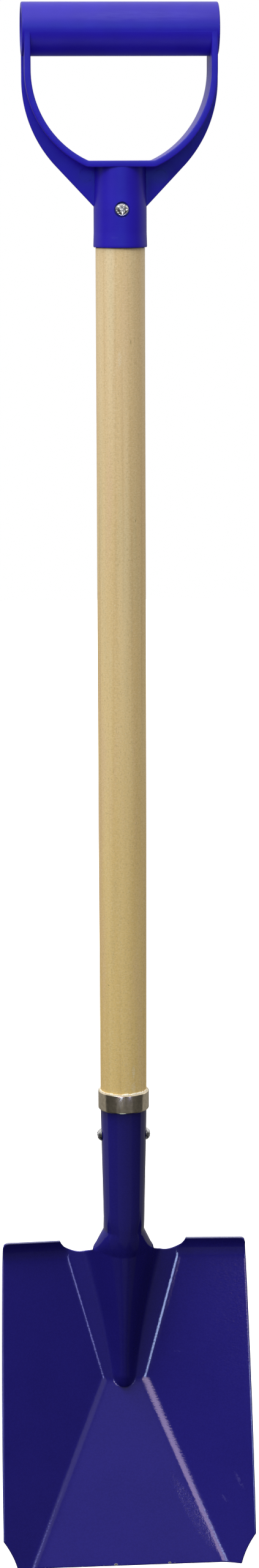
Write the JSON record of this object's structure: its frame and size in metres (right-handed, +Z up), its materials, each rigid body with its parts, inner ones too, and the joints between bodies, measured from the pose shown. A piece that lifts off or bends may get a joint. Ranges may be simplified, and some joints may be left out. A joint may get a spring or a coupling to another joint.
{
  "type": "sand shovel",
  "caption": "Child's long-handled sand shovel with a blue moulded D-handle, a turned wooden shaft and a dark blue pressed steel blade.",
  "frame": {"origin": "underside of the grip at its middle, where the shovel hangs on a hook; the shaft's axis passes through it", "axes": "+Z up along the shaft, from the blade to the grip; the hollow front of the blade faces -Y; +X to the right as seen from the front"},
  "size_m": [0.1356, 0.052, 0.817],
  "materials": {
    "handle_plastic": "satin moulded plastic",
    "shaft_wood": "turned and sanded, clear lacquer",
    "ring_steel": "bright plated steel",
    "blade_paint": "gloss enamel",
    "screw_steel": "nickel plated"
  },
  "bodies": {
    "root": {"d_handle": "handle_plastic", "handle_screw": "screw_steel", "shaft": "shaft_wood", "collar_ring": "ring_steel", "blade": "blade_paint", "socket_screw_left": "screw_steel", "socket_screw_right": "screw_steel"}
  },
  "joints": []
}
